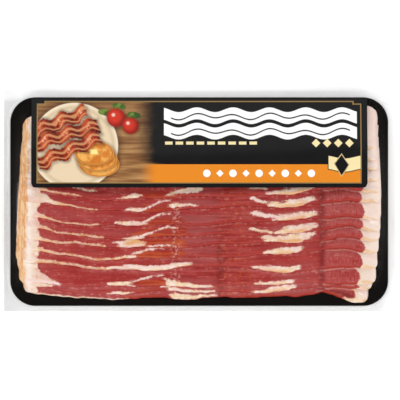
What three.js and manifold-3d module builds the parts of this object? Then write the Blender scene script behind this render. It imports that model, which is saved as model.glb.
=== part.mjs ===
// A one-pound pack of sliced bacon: a black backing board, fourteen slices shingled up it, a printed card
// laid over the upper slices, and a clear film pouch sealed round all of it.
// The pack lies on its back. X runs along the slices, Y from the lowest slice up to the card, Z is up.
// The origin is the middle of the pouch's underside. Lengths are millimetres.

import * as THREE from 'three';
import Module from 'manifold-3d';
import { mergeVertices } from 'three/addons/utils/BufferGeometryUtils.js';

// Clear pouch: the back web, a low lip drawn round the board's edge, and the flat sealed margin.
const pouch = { width: 280, height: 158, web: 0.3, lipWall: 0.9, lipHeight: 1.0 };

// Backing board, a little off the pouch's middle as it was sealed.
const board = { width: 270.8, height: 149.5, thickness: 0.7, corner: 18, x: -0.1, y: -0.35 };

// Printed card over the upper slices. Its two lower corners are rounded.
// It lies over four slices' ridges, a little above them.
const card = { width: 240.2, bottom: 9.7, top: 73.6, thickness: 0.5, corner: 3 };
const cardRest = { ridges: 4, lift: 1.5, bend: 1.6 };

// Slices. Each lies on the one below it, further up the board, so that a strip of each one shows.
const sliceThickness = 3.45;
const sliceCount = 14;
const lowestEdge = -69.1;
const exposures = [3.9, 4.3, 12.9, 7.6, 8.2, 6.8, 8.6, 10.8, 8.6, 8.2, 7.2, 7.2, 7.4];
const sliceCorner = 5;

// The cut edge of a slice is rounded over: how far in, and how high its outermost part stands.
const roundedEdge = { inset: 1.1, height: 0.5 };

// How far each end of a slice reaches: the widest slice, its reach, and how fast the others draw in.
const leftReach = { widest: 5, reach: -131.4, below: 0.25, above: 0.07 };
const rightReach = { widest: 8, reach: 130.9, below: 0.17, above: 0.136 };

// The lower edges share one bow along X. The lowest slices lie straighter, and two have a turn of their own.
const sharedBow = [
  [-132, 6.8], [-114, 4.7], [-97, 1.8], [-71, -1.1], [-35, -1.1], [-7, 0],
  [29, 1.4], [62, 2.2], [87, 4.3], [105, 6.3], [122, 3.8], [132, 2.6],
];
const bowShares = [0, 0.2, 0.3, 0.75];
const rightDroop = { slice: 3, from: 10, to: 70, depth: -4.2 };
const foldedCorner = { slice: 0, from: 88, to: 112, depth: -4.6 };

// The slices lean back on each other: flat at the bottom of the pack, then one slope up to the top.
// Each entry is a line across the pack and how many slices have ended there.
const lean = [[-44.2, 0], [-36.3, 0.45], [-28.1, 1.2], [-21.1, 2.15], [68, 13]];

// The top slices' upper corners are drawn in, so that the board's corners stay bare.
const stackTop = [[-130, 53], [-120, 60.5], [-104, 66], [104, 68], [118, 67], [128, 59]];

// The stack thins towards both ends, where the film pulls it down.
const pulledEnd = { reach: 132, length: 17, thinnest: 0.62 };

// Every slice is cut at the same columns along X and the same rows up the board, so that they nest.
const columns = { inner: 108, step: 9, outer: [114, 119, 123, 126.5, 129.5], beyond: 136 };
const rowsAbove = [0, 0.45, 1.2, 2.15, 4.2, 6.2, 8.2, 10.2];
const shortestCell = 1.5;

const gap = 0.4;
const contact = 0.05;
const cardGrid = { along: 26, across: 9, crowdedToEnds: 0.35 };
const cornerSegments = 10;
const weld = 1e-4;

const colours = {
  film: 0xe3e5e6,
  board: 0x17120e,
  card: 0x1c1a1b,
  lean: 0xa13a37,
};

const boardTop = pouch.web + contact + board.thickness;

function allColumns() {
  const inner = [];
  for (let x = -columns.inner; x <= columns.inner; x += columns.step) inner.push(x);
  const outer = columns.outer;
  return [...outer.map((x) => -x).reverse(), ...inner, ...outer];
}

// Where a place lies in a table of [place, value]: the values each side of it and the way between them.
function between(table, place) {
  const last = table.length - 1;
  const found = table.findIndex(([at]) => at > place);
  const next = found < 0 ? last : Math.max(1, found);
  const [start, from] = table[next - 1];
  const [stop, to] = table[next];
  return { from, to, way: (place - start) / (stop - start) };
}

function straight(table, place) {
  const { from, to, way } = between(table, place);
  return from + (to - from) * way;
}

function smooth(table, place) {
  const { from, to, way } = between(table, place);
  return THREE.MathUtils.lerp(from, to, THREE.MathUtils.smoothstep(way, 0, 1));
}

const stations = [-columns.beyond, ...allColumns(), columns.beyond];
const bowAtStations = stations.map((x) => [x, smooth(sharedBow, x)]);

function thinnedTo(x) {
  const inwards = THREE.MathUtils.clamp((pulledEnd.reach - Math.abs(x)) / pulledEnd.length, 0, 1);
  return pulledEnd.thinnest + (1 - pulledEnd.thinnest) * Math.sqrt(1 - (1 - inwards) ** 2);
}

const thinningAtStations = stations.map((x) => [x, thinnedTo(x)]);

function bowAt(x) {
  return straight(bowAtStations, x);
}

function endThinning(x) {
  return straight(thinningAtStations, x);
}

// How many slices have ended by this place up the board.
function slicesEnded(x, y) {
  return Math.max(0, straight(lean, y - bowAt(x)));
}

function lineWhereEnded(count) {
  return straight(lean.map(([line, ended]) => [ended, line]), count);
}

// Height above the board of the stack once this many slices are laid at this place.
function layerHeight(count, x, y) {
  return sliceThickness * endThinning(x) * (count - slicesEnded(x, y));
}

// How far a round corner draws an edge in, at a distance from the corner's outer side.
function cornerInset(distance, radius) {
  const short = Math.max(0, radius - distance);
  return radius - Math.sqrt(radius * radius - short * short);
}

function endReach(index, end) {
  const away = index - end.widest;
  const drawnIn = (away < 0 ? end.below : end.above) * away * away;
  return end.reach - Math.sign(end.reach) * drawnIn;
}

function edgeLine(index) {
  return exposures.slice(0, index).reduce((sum, shown) => sum + shown, lowestEdge);
}

function lowerEdge(index, x) {
  const share = bowShares[index] ?? 1;
  const wobble = 0.7 * Math.sin(x / 17 + 2.4 * index) + 0.5 * Math.sin(x / 7.3 + 5.1 * index);
  let y = edgeLine(index) + share * bowAt(x) + wobble;
  for (const turn of [rightDroop, foldedCorner]) {
    if (turn.slice === index) y += turn.depth * THREE.MathUtils.smoothstep(x, turn.from, turn.to);
  }
  return y;
}

function upperEdge(index, x) {
  return Math.min(bowAt(x) + lineWhereEnded(index), smooth(stackTop, x));
}

// A closed box mesh whose points are moved to where the function puts them.
function shapedBox(along, across, place) {
  const geometry = new THREE.BoxGeometry(along, across, 1, along, across, 1);
  const points = geometry.attributes.position;
  for (let i = 0; i < points.count; i++) {
    const column = Math.round(points.getX(i) + along / 2);
    const row = Math.round(points.getY(i) + across / 2);
    points.setXYZ(i, ...place(column, row, points.getZ(i) > 0));
  }
  geometry.computeVertexNormals();
  return geometry;
}

function sliceColumns(index) {
  const left = endReach(index, leftReach);
  const right = endReach(index, rightReach);
  const start = left + roundedEdge.inset;
  const stop = right - roundedEdge.inset;
  const within = allColumns().filter((x) => x > start + shortestCell && x < stop - shortestCell);
  return [left, start, ...within, stop, right];
}

// Lines across the slice that follow the shared bow: only those clear of both its edges all along it.
function sliceRows(index, xs) {
  const clear = roundedEdge.inset + shortestCell;
  const lowest = Math.max(...xs.map((x) => lowerEdge(index, x) - bowAt(x))) + clear;
  const highest = Math.min(...xs.map((x) => upperEdge(index, x) - bowAt(x))) - shortestCell;
  return rowsAbove.map(lineWhereEnded).filter((y) => y > lowest && y < highest);
}

function sliceGeometry(index) {
  const xs = sliceColumns(index);
  const rows = sliceRows(index, xs);
  const last = xs.length - 1;
  return shapedBox(last, rows.length + 2, (column, row, isTop) => {
    const x = xs[column];
    const corner = cornerInset(Math.min(x - xs[0], xs[last] - x), sliceCorner);
    const edge = lowerEdge(index, x) + corner;
    const inner = rows.map((line) => bowAt(x) + line);
    const y = [edge, edge + roundedEdge.inset, ...inner, upperEdge(index, x)][row];
    const bottom = boardTop + gap + layerHeight(index, x, y);
    const isEdge = row === 0 || column === 0 || column === last;
    const thickness = (sliceThickness * endThinning(x) - gap) * (isEdge ? roundedEdge.height : 1);
    return [x, y, bottom + (isTop ? thickness : 0)];
  });
}

function ridgeHeight(index, x) {
  return layerHeight(index + 1, x, edgeLine(index) + bowAt(x));
}

// The card lies over the ridges of the slices under it, then slopes down the last to the board's top edge.
function cardUnderside(x, y) {
  const first = sliceCount - 1 - cardRest.ridges;
  const way = (y - bowAt(x) - edgeLine(first)) / (edgeLine(sliceCount - 1) - edgeLine(first));
  const flat = THREE.MathUtils.lerp(ridgeHeight(first, x), ridgeHeight(sliceCount - 1, x), way);
  const sloping = layerHeight(sliceCount, x, y);
  const blend = Math.hypot(flat - sloping, cardRest.bend);
  return boardTop + gap + cardRest.lift + Math.max(0, (flat + sloping - blend) / 2);
}

function cardGeometry() {
  const half = card.width / 2;
  return shapedBox(cardGrid.along, cardGrid.across, (column, row, isTop) => {
    const along = column / cardGrid.along;
    const x = half * THREE.MathUtils.lerp(2 * along - 1, -Math.cos(along * Math.PI), cardGrid.crowdedToEnds);
    const corner = cornerInset(half - Math.abs(x), card.corner);
    const y = THREE.MathUtils.lerp(card.bottom + corner, card.top, row / cardGrid.across);
    return [x, y, cardUnderside(x, y) + (isTop ? card.thickness : 0)];
  });
}

function roundedOutline(width, height, radius, grow = 0) {
  const right = width / 2 + grow;
  const top = height / 2 + grow;
  const bend = radius + grow;
  const outline = new THREE.Shape();
  outline.absarc(right - bend, top - bend, bend, 0, Math.PI / 2);
  outline.absarc(-right + bend, top - bend, bend, Math.PI / 2, Math.PI);
  outline.absarc(-right + bend, -top + bend, bend, Math.PI, 1.5 * Math.PI);
  outline.absarc(right - bend, -top + bend, bend, 1.5 * Math.PI, 2 * Math.PI);
  return outline;
}

function plate(outline, thickness, x, y, z) {
  const settings = { depth: thickness, bevelEnabled: false, curveSegments: cornerSegments };
  return new THREE.ExtrudeGeometry(outline, settings).translate(x, y, z);
}

const wasm = await Module();
wasm.setup();

function toSolid(geometry) {
  geometry.deleteAttribute('normal');
  geometry.deleteAttribute('uv');
  const merged = mergeVertices(geometry, weld);
  return new wasm.Manifold(new wasm.Mesh({
    numProp: 3,
    vertProperties: new Float32Array(merged.attributes.position.array),
    triVerts: new Uint32Array(merged.index.array),
  }));
}

function toGeometry(solid) {
  const mesh = solid.getMesh();
  const geometry = new THREE.BufferGeometry();
  geometry.setAttribute('position', new THREE.BufferAttribute(mesh.vertProperties, 3));
  geometry.setIndex(new THREE.BufferAttribute(mesh.triVerts, 1));
  geometry.computeVertexNormals();
  return geometry;
}

function pouchGeometry() {
  const sheetOutline = new THREE.Shape([
    new THREE.Vector2(-pouch.width / 2, -pouch.height / 2),
    new THREE.Vector2(pouch.width / 2, -pouch.height / 2),
    new THREE.Vector2(pouch.width / 2, pouch.height / 2),
    new THREE.Vector2(-pouch.width / 2, pouch.height / 2),
  ]);
  const lipOutline = roundedOutline(board.width, board.height, board.corner, gap + pouch.lipWall);
  const seatOutline = roundedOutline(board.width, board.height, board.corner, gap);
  const sheet = toSolid(plate(sheetOutline, pouch.web, 0, 0, 0));
  const lip = toSolid(plate(lipOutline, pouch.lipHeight, board.x, board.y, 0));
  const seat = toSolid(plate(seatOutline, pouch.lipHeight, board.x, board.y, pouch.web));
  return toGeometry(sheet.add(lip).subtract(seat));
}

function boardGeometry() {
  const outline = roundedOutline(board.width, board.height, board.corner);
  return plate(outline, board.thickness, board.x, board.y, pouch.web + contact);
}

function piece(name, geometry, settings) {
  const mesh = new THREE.Mesh(geometry, new THREE.MeshStandardMaterial(settings));
  mesh.name = name;
  return mesh;
}

const pack = new THREE.Group();
pack.name = 'bacon_pack';
pack.add(piece('film_pouch', pouchGeometry(), {
  color: colours.film, roughness: 0.15, metalness: 0, transparent: true, opacity: 0.35,
}));
pack.add(piece('backing_board', boardGeometry(), { color: colours.board, roughness: 0.35, metalness: 0 }));
for (let index = 0; index < sliceCount; index++) {
  const name = `slice_${String(index + 1).padStart(2, '0')}`;
  pack.add(piece(name, sliceGeometry(index), { color: colours.lean, roughness: 0.3, metalness: 0 }));
}
pack.add(piece('printed_card', cardGeometry(), { color: colours.card, roughness: 0.35, metalness: 0 }));

export default pack;
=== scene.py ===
import math

import bmesh
import bpy
import numpy as np
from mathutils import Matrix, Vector


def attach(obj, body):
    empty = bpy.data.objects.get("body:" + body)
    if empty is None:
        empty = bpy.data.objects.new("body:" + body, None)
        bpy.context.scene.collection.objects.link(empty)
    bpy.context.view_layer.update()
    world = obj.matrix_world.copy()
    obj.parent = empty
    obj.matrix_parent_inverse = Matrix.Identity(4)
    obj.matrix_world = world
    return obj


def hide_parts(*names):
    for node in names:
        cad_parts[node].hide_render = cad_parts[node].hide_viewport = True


# A vacuum pack of sliced bacon. Sizes are millimetres until a mesh is placed, and the frame is in metres.

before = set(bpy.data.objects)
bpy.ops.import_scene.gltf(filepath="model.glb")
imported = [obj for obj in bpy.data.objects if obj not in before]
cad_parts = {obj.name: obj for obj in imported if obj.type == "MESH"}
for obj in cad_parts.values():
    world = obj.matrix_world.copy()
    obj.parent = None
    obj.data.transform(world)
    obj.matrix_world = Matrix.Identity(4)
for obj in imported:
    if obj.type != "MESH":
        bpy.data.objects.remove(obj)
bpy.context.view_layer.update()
mm = 0.001


# Shader maths: a socket that adds, subtracts and multiplies like a number

class Signal:
    def __init__(self, recipe, socket):
        self.recipe = recipe
        self.socket = socket

    def __add__(self, other):
        return self.recipe.maths("ADD", self, other)

    def __sub__(self, other):
        return self.recipe.maths("SUBTRACT", self, other)

    def __rsub__(self, other):
        return self.recipe.maths("SUBTRACT", other, self)

    def __mul__(self, other):
        return self.recipe.maths("MULTIPLY", self, other)

    __radd__ = __add__
    __rmul__ = __mul__


class Recipe:  # one material's node tree
    def __init__(self, name):
        self.material = bpy.data.materials.new(name)
        self.material.use_nodes = True
        self.tree = self.material.node_tree
        self.tree.nodes.clear()

    def node(self, kind, settings=None, inputs=None, output=0):
        made = self.tree.nodes.new(kind)
        for name, value in (settings or {}).items():
            setattr(made, name, value)
        for name, value in (inputs or {}).items():
            if isinstance(value, Signal):
                self.tree.links.new(value.socket, made.inputs[name])
            else:
                made.inputs[name].default_value = value
        return Signal(self, made.outputs[output])

    def maths(self, operation, first, second=0.0):
        return self.node("ShaderNodeMath", {"operation": operation}, {0: first, 1: second})

    def least(self, first, second):
        return self.maths("MINIMUM", first, second)

    def most(self, first, second):
        return self.maths("MAXIMUM", first, second)

    def size(self, value):
        return self.maths("ABSOLUTE", value)

    def length(self, across, up):
        return self.maths("SQRT", across * across + up * up)

    def wave(self, value):
        return self.maths("SINE", value)

    def ease(self, value, start, stop):  # 0 before start, 1 after stop, smooth between
        ranges = {"Value": value, "From Min": start, "From Max": stop}
        return self.node("ShaderNodeMapRange", {"interpolation_type": "SMOOTHSTEP"}, ranges)

    def inside(self, field, soft=0.12):  # 1 where a distance field is below nought
        return self.ease(field, soft, -soft)

    def above(self, field, soft):  # 1 where a field is over nought
        return self.ease(field, -soft, soft)

    def near(self, along, zone):  # 1 about a zone's middle, which comes with its half width and softness
        middle, half, soft = zone
        return self.inside(self.size(along - middle) - half, soft)

    def blend(self, mask, below, above):
        return self.node("ShaderNodeMix", {"data_type": "RGBA"}, {0: mask, 6: below, 7: above}, 2)

    def place(self):
        return self.node("ShaderNodeTexCoord", output="Object")

    def scaled(self, vector, by, shift=(0, 0, 0)):
        return self.node("ShaderNodeMapping", {}, {"Vector": vector, "Scale": by, "Location": shift})

    def part(self, vector, axis):
        return self.node("ShaderNodeSeparateXYZ", {}, {0: vector}, axis)

    def noise(self, vector, scale, detail=2.0, roughness=0.5):
        inputs = {"Vector": vector, "Scale": scale, "Detail": detail, "Roughness": roughness}
        return self.node("ShaderNodeTexNoise", {}, inputs)

    def pattern(self, vector, kind, shift=(0, 0, 0)):  # a noise's kind: its stretch, scale and detail
        stretch, *rest = kind
        return self.noise(self.scaled(vector, stretch, shift), *rest)

    def attribute(self, name):
        return self.node("ShaderNodeAttribute", {"attribute_name": name}, output="Fac")

    def bump(self, height, strength, distance):
        inputs = {"Height": height, "Strength": strength, "Distance": distance}
        return self.node("ShaderNodeBump", {}, inputs)

    def finish(self, shader):
        out = self.tree.nodes.new("ShaderNodeOutputMaterial")
        self.tree.links.new(shader.socket, out.inputs["Surface"])
        return self.material


def shade(red, green, blue):  # a colour as seen on a screen, 0 to 255, made linear
    parts = [value / 255 for value in (red, green, blue)]
    return (*[part / 12.92 if part < 0.04 else ((part + 0.055) / 1.055) ** 2.4 for part in parts], 1.0)


# The stack's form, with the same sizes as the frame

stack = {
    "count": 14, "thickness": 3.45, "gap": 0.4, "boardTop": 1.05, "lowestEdge": -69.1,
    "exposures": [3.9, 4.3, 12.9, 7.6, 8.2, 6.8, 8.6, 10.8, 8.6, 8.2, 7.2, 7.2, 7.4],
    "leftReach": {"widest": 5, "reach": -131.4, "below": 0.25, "above": 0.07},
    "rightReach": {"widest": 8, "reach": 130.9, "below": 0.17, "above": 0.136},
    "bow": [(-132, 6.8), (-114, 4.7), (-97, 1.8), (-71, -1.1), (-35, -1.1), (-7, 0),
            (29, 1.4), (62, 2.2), (87, 4.3), (105, 6.3), (122, 3.8), (132, 2.6)],
    "bowShares": [0, 0.2, 0.3, 0.75],
    "droop": {"slice": 3, "from": 10, "to": 70, "depth": -4.2},
    "fold": {"slice": 0, "from": 88, "to": 112, "depth": -4.6},
    "lean": [(-44.2, 0), (-36.3, 0.45), (-28.1, 1.2), (-21.1, 2.15), (68, 13), (84.4, 15)],
    "top": [(-131, 48), (-130, 50.8), (-128.1, 55.8), (-124.9, 59.1), (-121, 60.7), (-112, 63), (-104, 66),
            (104, 68), (120.7, 68.2), (123.5, 67.2), (126.3, 64.9), (128, 61.5), (129.2, 58.5), (131, 50)],
    "pulledEnd": {"reach": 132, "length": 17, "thinnest": 0.62},
    "corner": 5.0, "edgeRound": 2.4,
    "wobbles": [(0.7, 17, 2.4), (0.5, 7.3, 5.1)],  # a cut edge's waves: depth, mm to a radian, shift by slice
    "nicks": [(0.16, 2.3, 3), (0.12, 1.37, 7)],
    "drawIn": {  # how far the film pulls the ends in, by place up the pack
        "left": [(-66, -2.4), (-60, -1.8), (-57, -0.6), (-53, 0), (-50, 0.2), (-44, -1.2), (-38, -1.0),
                 (-34, -0.7), (-24, 0.5), (-10, 1.1), (4, 1.5), (14, 2.2), (23, 2.5), (33, 2.3), (46, 3.0),
                 (56, 2.2), (63, 0.8)],
        "right": [(-66, -1.5), (-52, -2.1), (-40, -0.6), (-30, 0), (-15, 0.8), (5, 0.8), (44, 1.9), (58, 1.2),
                  (65, 0)],
        "from": 104, "to": 130,
    },
    "drawUp": [  # how far the lowest edge stands above its line, by place along
        (-126, 5.8), (-122, 4.0), (-114, 2.6), (-106, 2.0), (-96, 0.2), (-85, -1.5), (-67, -1.7), (-49, -0.6),
        (-26, 0.4), (-6, -0.9), (22, -0.6), (44, 0), (69, 1.0), (78, 2.7), (87, 4.5), (94, 3.3), (99, 2.4),
        (108, 0.6),
    ],
    "drawUpShares": [1.0, 0.6, 0.25],
}
card = {
    "width": 240.2, "bottom": 9.7, "top": 73.6, "thickness": 0.5, "corner": 3.0, "ridges": 4,
    "lift": 1.5, "bend": 1.6, "columns": 150, "rows": 46,
}
board = {
    "width": 270.8, "height": 149.5, "corner": 18.0, "x": -0.1, "y": -0.35,
    "black": shade(12, 9, 7), "blackWorn": shade(16, 12, 10),
}


def easeThrough(stops, place):  # a smooth line through (place, value) stops
    at = np.array([stop[0] for stop in stops], float)
    value = np.array([stop[1] for stop in stops], float)
    place = np.clip(place, at[0], at[-1])
    before = np.clip(np.searchsorted(at, place, side="right") - 1, 0, len(at) - 2)
    way = (place - at[before]) / (at[before + 1] - at[before])
    way = way * way * (3 - 2 * way)
    return value[before] + (value[before + 1] - value[before]) * way


def easeStep(value, start, stop):
    way = np.clip((value - start) / (stop - start), 0, 1)
    return way * way * (3 - 2 * way)


def bowAt(x):
    return easeThrough(stack["bow"], x)


def thinning(x):
    end = stack["pulledEnd"]
    inwards = np.clip((end["reach"] - np.abs(x)) / end["length"], 0, 1)
    return end["thinnest"] + (1 - end["thinnest"]) * np.sqrt(1 - (1 - inwards) ** 2)


def slicesEnded(x, y):
    lines = [stop[0] for stop in stack["lean"]]
    counts = [stop[1] for stop in stack["lean"]]
    return np.interp(y - bowAt(x), lines, counts)


def lineWhereEnded(count):
    return np.interp(count, [stop[1] for stop in stack["lean"]], [stop[0] for stop in stack["lean"]])


def layerHeight(count, x, y):
    return stack["thickness"] * thinning(x) * (count - slicesEnded(x, y))


def endReach(index, side):
    away = index - side["widest"]
    drawnIn = (side["below"] if away < 0 else side["above"]) * away * away
    return side["reach"] - math.copysign(drawnIn, side["reach"])


def pullIn(x, y):
    pull = stack["drawIn"]
    depth = np.where(x < 0, easeThrough(pull["left"], y), -easeThrough(pull["right"], y))
    return depth * np.clip((np.abs(x) - pull["from"]) / (pull["to"] - pull["from"]), 0, 1)


def edgeLine(index):
    return stack["lowestEdge"] + sum(stack["exposures"][:index])


def edgeWaves(waves, index, x):
    return sum(depth * np.sin(x / length + shift * index) for depth, length, shift in waves)


def lowerEdge(index, x):
    share = stack["bowShares"][index] if index < len(stack["bowShares"]) else 1.0
    y = edgeLine(index) + share * bowAt(x) + edgeWaves(stack["wobbles"], index, x)
    for turn in (stack["droop"], stack["fold"]):
        if turn["slice"] == index:
            y = y + turn["depth"] * easeStep(x, turn["from"], turn["to"])
    if index < len(stack["drawUpShares"]):
        y = y + stack["drawUpShares"][index] * easeThrough(stack["drawUp"], x)
    return y + edgeWaves(stack["nicks"], index, x)


def upperEdge(index, x):
    top = np.interp(x, [stop[0] for stop in stack["top"]], [stop[1] for stop in stack["top"]])
    return np.minimum(bowAt(x) + lineWhereEnded(index), top)


def cornerInset(distance, radius):
    short = np.maximum(0, radius - distance)
    return radius - np.sqrt(np.maximum(0, radius * radius - short * short))


def exposure(index, x):  # how far up a slice's face shows before the next one covers it
    if index + 1 >= stack["count"]:
        return np.full_like(x, 20.0)
    return np.maximum(2.0, lowerEdge(index + 1, x) - lowerEdge(index, x))


# What each slice's face shows, in mm along the slice and mm up from its cut edge. A mark is a stroke from
# one place to another: (kind, start along, start up, end along, end up, half depth at start and at end).

faces = {
    "leftFat": -116.0, "smokedEnd": -124.0, "endSmudge": ("tint", 118.0, 1.5, 127.0, 0.3, 1.1, 0.6),
    "rightFat": {"line": 115.0, "bulge": 2.8, "uneven": 0.8, "lowSlices": 4, "lowStep": 1.5},
    "leftLines": {  # start, stop, half depth at the start, middle and stop
        3: (-118, -62, 2.0, 1.2, 1.1), 4: (-117, -48, 1.7, 0.95, 1.0), 5: (-116, -69, 1.5, 1.1, 0.9),
        6: (-118, -71, 1.5, 0.8, 1.0), 7: (-118, -73, 1.8, 0.5, 0.5), 8: (-104, -75, 1.1, 0.5, 0.65),
        9: (-118, -86, 1.7, 0.9, 0.5),
    },
    "midFat": {  # start, stop, half depth
        1: (-64, -48, 1.0), 2: (-65, -49, 1.5), 3: (-68, -6, 1.9), 4: (-60, -46, 0.8), 5: (-58, -41, 3.0),
        6: (-52, -40, 1.3), 7: (-57, -38, 1.7), 8: (-52, -40, 1.5), 9: (-55, -41, 1.8), 10: (-52, -36, 1.2),
    },
    "midSmoke": {1: 1.8, 2: 2.4, 4: 2.8, 5: 3.4, 6: 3.9, 7: 2.8, 8: 3.2, 9: 2.4},
    "warmth": {4: 0.06, 5: 0.08, 6: 0.03, 3: 0.05},  # how much more orange a smoked patch is
    "seams": {  # start along and up, end along and up
        1: (-29, 4.0, -14, 0.6), 2: (-47, 3.8, -32, 8.2), 4: (-47, 3.0, -31, 7.4), 5: (-36, 0.8, -24, 2.4),
        6: (-46, 0.8, -23, 7.0), 7: (-41, 2.4, -27, 8.2), 8: (-41, 1.6, -28, 7.8),
    },
    "rightBlobs": {  # start, stop, half depth
        1: (38, 69, 1.9), 2: (40, 68, 1.3), 3: (38, 72, 2.2), 4: (45, 74, 2.4), 5: (47, 80, 3.4),
        6: (53, 84, 2.8), 7: (53, 84, 2.4), 8: (49, 83, 2.7), 9: (48, 84, 2.6), 10: (48, 84, 2.4),
    },
    "extra": {
        0: [("fat", -122, 0.1, -52, 0.1, 0.9, 0.45), ("smoke", -52, 0.6, -30, 0.7, 0.8, 0.9),
            ("fat", -16, 2.2, 12, 1.4, 2.1, 0.4), ("fat", 106, 1.0, 121, 2.4, 1.2, 3.2),
            ("smoke", 30, 0.4, 104, 0.6, 0.5, 0.7), ("dark", 96, 2.0, 106, 3.5, 1.5, 2.2)],
        1: [("fat", -20, 1.2, 10, 0.8, 1.3, 0.5), ("fat", -119, 1.4, -106, 2.4, 2.0, 0.6)],
        2: [("fat", -123, 6.0, -101, 0.9, 6.0, 0.5), ("white", -121, 2.4, -101.5, 1.2, 1.2, 1.0),
            ("fat", -25, 5.4, -15, 1.8, 0.5, 1.2), ("fat", -19, 1.6, 9, 0.8, 2.1, 0.4)],
        3: [("smoke", -46, 0.3, -18, 0.2, 0.7, 0.7), ("white", -52, 2.6, -26, 2.6, 1.1, 1.2),
            ("white", -26, 2.6, -6, 3.2, 1.2, 0.3)],
        5: [("tint", -50, 3.2, -41, 5.0, 1.4, 1.8)],
        6: [("fat", 38, 5.0, 51, 1.8, 0.9, 0.8)],
        7: [("white", 40, 6.5, 50, 4.0, 1.5, 1.0), ("white", 50, 5.0, 58, 1.6, 0.8, 0.6)],
        8: [("fat", -122, 5.2, -100.5, 0.4, 5.4, 0.4), ("fat", -19, 3.6, -2, 2.6, 1.5, 0.3),
            ("white", 39, 5.6, 46, 3.2, 1.1, 0.8), ("tint", 40, 2.2, 47, 1.6, 1.0, 0.8)],
        9: [("fat", -22, 2.6, -3, 4.8, 0.8, 2.2), ("fat", 38, 5.6, 47, 4.4, 1.0, 0.6),
            ("fat", -90, 6.0, -76, 6.8, 0.5, 0.8)],
    },
    "scraps": 6, "seed": 11,  # small pieces that make each blob's outline uneven
    "layers": ("fat", "line", "white", "smoke", "tint", "dark", "up", "below"),
}


def strokeField(along, up, mark):  # how deep inside a mark a place is, in mm
    kind, startAlong, startUp, endAlong, endUp, startHalf, endHalf = mark
    run, rise = endAlong - startAlong, endUp - startUp
    way = np.clip(((along - startAlong) * run + (up - startUp) * rise) / (run * run + rise * rise), 0, 1)
    half = startHalf + (endHalf - startHalf) * way
    beyond = np.hypot((along - startAlong - run * way) * 0.45, up - startUp - rise * way)
    return half - beyond


def scattered(dice, kind, start, stop, half):  # a blob and the scraps around it
    middle = start + 0.6 * (stop - start)
    marks = [(kind, start + 0.6 * half, half * 0.5, middle, half * 0.9, half * 0.3, half),
             (kind, middle, half * 0.9, stop - 0.9 * half, half * 1.2, half, half * 0.4)]
    for scrap in range(faces["scraps"]):
        way = dice.uniform(0.03, 0.95)
        along = start + (stop - start) * way
        up = half * (0.5 + 0.6 * way) + dice.uniform(-0.8, 0.9) * half
        run = dice.uniform(2.0, 6.0)
        depth = half * dice.uniform(0.2, 0.45)
        rise = dice.uniform(-0.5, 0.8)
        marks.append((kind, along - run / 2, up, along + run / 2, up + rise, depth, depth * 0.7))
    return marks


def sliceMarks(index):
    dice = np.random.default_rng(faces["seed"] + index)
    marks = list(faces["extra"].get(index, []))
    if index in faces["leftLines"]:
        start, stop, first, middle, last = faces["leftLines"][index]
        bend = start + (stop - start) * 0.42
        marks.append(("fat", start, 1.0, start + 12, 0.6, first * 1.5, 0.3))
        marks.append(("line", start, 0.7, bend, 0.4, first, middle + 0.15))
        marks.append(("line", bend, 0.4, stop, 0.7, middle + 0.1, last + 0.15))
        marks.append(("tint", start + 8, 0.2, stop - 6, 0.2, 0.2, 0.5))
        marks.append(("tint", start + 5, 0.9, start + 12, 0.5, 0.9, 0.4))
    if index in faces["midFat"]:
        start, stop, half = faces["midFat"][index]
        marks.extend(scattered(dice, "fat", start, stop, half))
    if index in faces["midSmoke"]:
        depth = faces["midSmoke"][index]
        marks.append(("smoke", -41, depth * 0.7, -17, depth * 0.9, depth * 0.8, depth * 0.8))
    if index in faces["seams"]:
        start, low, stop, high = faces["seams"][index]
        marks.append(("white", start, low, stop, high, 0.5, 0.55))
        marks.append(("white", stop, high, stop + 6, high - 0.6, 0.5, 0.3))
    if index in faces["rightBlobs"]:
        start, stop, half = faces["rightBlobs"][index]
        marks.extend(scattered(dice, "fat", start, stop, half))
        marks.append(("tint", start + 10, half * 0.3, stop - 10, half * 0.5, half * 0.2, half * 0.4))
        marks.append(("white", start + 12, half * 1.8, stop - 2, half * 1.9, 0.3, 0.5))
    return marks


def markField(index, along, up, kind):
    found = np.full_like(along, -6.0)
    for mark in sliceMarks(index):
        if mark[0] == kind:
            found = np.maximum(found, strokeField(along, up, mark))
    return found


def faceFields(index, along, up):
    shown = exposure(index, along)
    white = markField(index, along, up, "white")
    fat = np.maximum(markField(index, along, up, "fat"), white)
    leftFat = faces["leftFat"] - along + np.sin(up * 0.7 + index) + 0.10 * up
    right = faces["rightFat"]
    bulge = right["bulge"] * (1 - (2 * np.clip(up / shown, 0, 1) - 0.9) ** 2)
    lowSlice = right["lowStep"] * max(0, right["lowSlices"] - index)
    rightFat = along - (right["line"] - lowSlice + bulge + right["uneven"] * np.sin(index * 2.1))
    fat = np.maximum(fat, np.maximum(leftFat, rightFat))
    tint = markField(index, along, up, "tint")
    tint = np.maximum(tint, strokeField(along, up, faces["endSmudge"]))
    tint = np.maximum(tint, faces["smokedEnd"] - along + 0.8 * np.sin(up * 0.5 + index * 1.7))
    fields = {"fat": fat, "white": white, "tint": tint}
    for kind in ("line", "smoke", "dark"):
        fields[kind] = markField(index, along, up, kind)
    return fields


# The slices' mesh

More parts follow.
